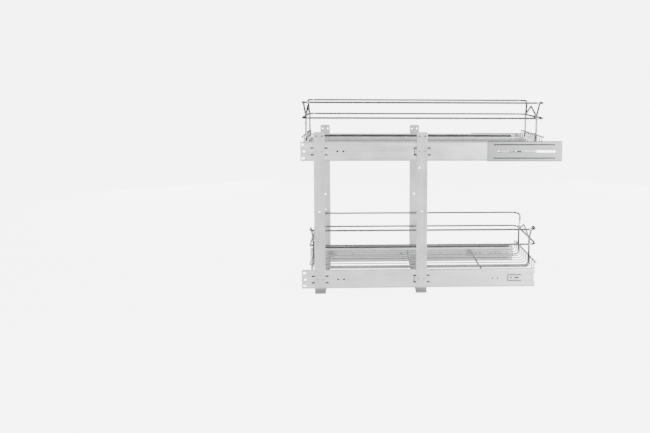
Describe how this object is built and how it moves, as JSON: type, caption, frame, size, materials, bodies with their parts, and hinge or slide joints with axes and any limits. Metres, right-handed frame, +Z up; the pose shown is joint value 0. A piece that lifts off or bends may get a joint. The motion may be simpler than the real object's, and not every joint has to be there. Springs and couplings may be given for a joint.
{
  "type": "pull-out cabinet basket",
  "caption": "Floor-standing frame for a base cabinet with an upper and a lower wire basket that pull out on full-extension ball slides.",
  "frame": {"origin": "on the cabinet floor, under the middle of the whole part", "axes": "+X to the front, the way the baskets pull out, the left side at -Y, +Z up"},
  "size_m": [0.6184, 0.298, 0.4593],
  "materials": {
    "frame_strip": "bright zinc plate, satin",
    "slide_steel": "bright zinc plate, satin",
    "inner_slide_steel": "zinc plate, lightly greased",
    "bracket_steel": "zinc plate, satin",
    "chrome_wire": "polished chrome plate",
    "ball_steel": "polished hardened steel",
    "fastener_steel": "zinc plate"
  },
  "bodies": {
    "frame": {"rear_frame": "frame_strip", "front_frame": "frame_strip", "slide_rivets": "fastener_steel", "upper_left_cabinet_member": "slide_steel", "upper_right_cabinet_member": "slide_steel", "lower_left_cabinet_member": "slide_steel", "lower_right_cabinet_member": "slide_steel"},
    "upper_basket": {"upper_left_drawer_member": "slide_steel", "upper_right_drawer_member": "slide_steel", "upper_basket_rim": "chrome_wire", "upper_basket_guard_rail": "chrome_wire", "upper_basket_floor_wires": "chrome_wire", "upper_basket_lip_wires": "chrome_wire", "upper_basket_post_wires": "chrome_wire", "upper_basket_cross_wires": "chrome_wire", "upper_basket_clips": "bracket_steel", "upper_basket_clip_screws": "fastener_steel"},
    "lower_basket": {"lower_left_drawer_member": "slide_steel", "lower_right_drawer_member": "slide_steel", "lower_basket_rim": "chrome_wire", "lower_basket_guard_rail": "chrome_wire", "lower_basket_floor_wires": "chrome_wire", "lower_basket_lip_wires": "chrome_wire", "lower_basket_post_wires": "chrome_wire", "lower_basket_cross_wires": "chrome_wire", "lower_basket_clips": "bracket_steel", "lower_basket_clip_screws": "fastener_steel"},
    "upper_middle": {"upper_left_middle_member": "inner_slide_steel", "upper_right_middle_member": "inner_slide_steel"},
    "lower_middle": {"lower_left_middle_member": "inner_slide_steel", "lower_right_middle_member": "inner_slide_steel"},
    "upper_outer_cages": {"upper_left_outer_cage": "inner_slide_steel", "upper_right_outer_cage": "inner_slide_steel", "upper_left_outer_balls": "ball_steel", "upper_right_outer_balls": "ball_steel"},
    "lower_outer_cages": {"lower_left_outer_cage": "inner_slide_steel", "lower_right_outer_cage": "inner_slide_steel", "lower_left_outer_balls": "ball_steel", "lower_right_outer_balls": "ball_steel"},
    "upper_inner_cages": {"upper_left_inner_cage": "inner_slide_steel", "upper_right_inner_cage": "inner_slide_steel", "upper_left_inner_balls": "ball_steel", "upper_right_inner_balls": "ball_steel"},
    "lower_inner_cages": {"lower_left_inner_cage": "inner_slide_steel", "lower_right_inner_cage": "inner_slide_steel", "lower_left_inner_balls": "ball_steel", "lower_right_inner_balls": "ball_steel"},
    "left_bracket": {"left_front_bracket": "bracket_steel"},
    "right_bracket": {"right_front_bracket": "bracket_steel"}
  },
  "joints": [
    {"name": "upper_basket_slide", "type": "slide", "parent": "frame", "child": "upper_basket", "axis": [1, 0, 0], "range_m": [0, 0.54]},
    {"name": "lower_basket_slide", "type": "slide", "parent": "frame", "child": "lower_basket", "axis": [1, 0, 0], "range_m": [0, 0.54]},
    {"name": "upper_middle_slide", "type": "slide", "parent": "frame", "child": "upper_middle", "axis": [1, 0, 0], "range_m": [0, 0.27]},
    {"name": "lower_middle_slide", "type": "slide", "parent": "frame", "child": "lower_middle", "axis": [1, 0, 0], "range_m": [0, 0.27]},
    {"name": "upper_outer_cage_slide", "type": "slide", "parent": "frame", "child": "upper_outer_cages", "axis": [1, 0, 0], "range_m": [0, 0.135]},
    {"name": "lower_outer_cage_slide", "type": "slide", "parent": "frame", "child": "lower_outer_cages", "axis": [1, 0, 0], "range_m": [0, 0.135]},
    {"name": "upper_inner_cage_slide", "type": "slide", "parent": "frame", "child": "upper_inner_cages", "axis": [1, 0, 0], "range_m": [0, 0.405]},
    {"name": "lower_inner_cage_slide", "type": "slide", "parent": "frame", "child": "lower_inner_cages", "axis": [1, 0, 0], "range_m": [0, 0.405]},
    {"name": "left_bracket_slide", "type": "slide", "parent": "frame", "child": "left_bracket", "axis": [1, 0, 0], "range_m": [-0.06, 0.04]},
    {"name": "right_bracket_slide", "type": "slide", "parent": "frame", "child": "right_bracket", "axis": [1, 0, 0], "range_m": [-0.06, 0.04]}
  ],
  "couplings": [
    {"joint": "upper_middle_slide", "follows": "upper_basket_slide", "ratio": 0.5},
    {"joint": "upper_outer_cage_slide", "follows": "upper_basket_slide", "ratio": 0.25},
    {"joint": "upper_inner_cage_slide", "follows": "upper_basket_slide", "ratio": 0.75},
    {"joint": "lower_middle_slide", "follows": "lower_basket_slide", "ratio": 0.5},
    {"joint": "lower_outer_cage_slide", "follows": "lower_basket_slide", "ratio": 0.25},
    {"joint": "lower_inner_cage_slide", "follows": "lower_basket_slide", "ratio": 0.75}
  ]
}
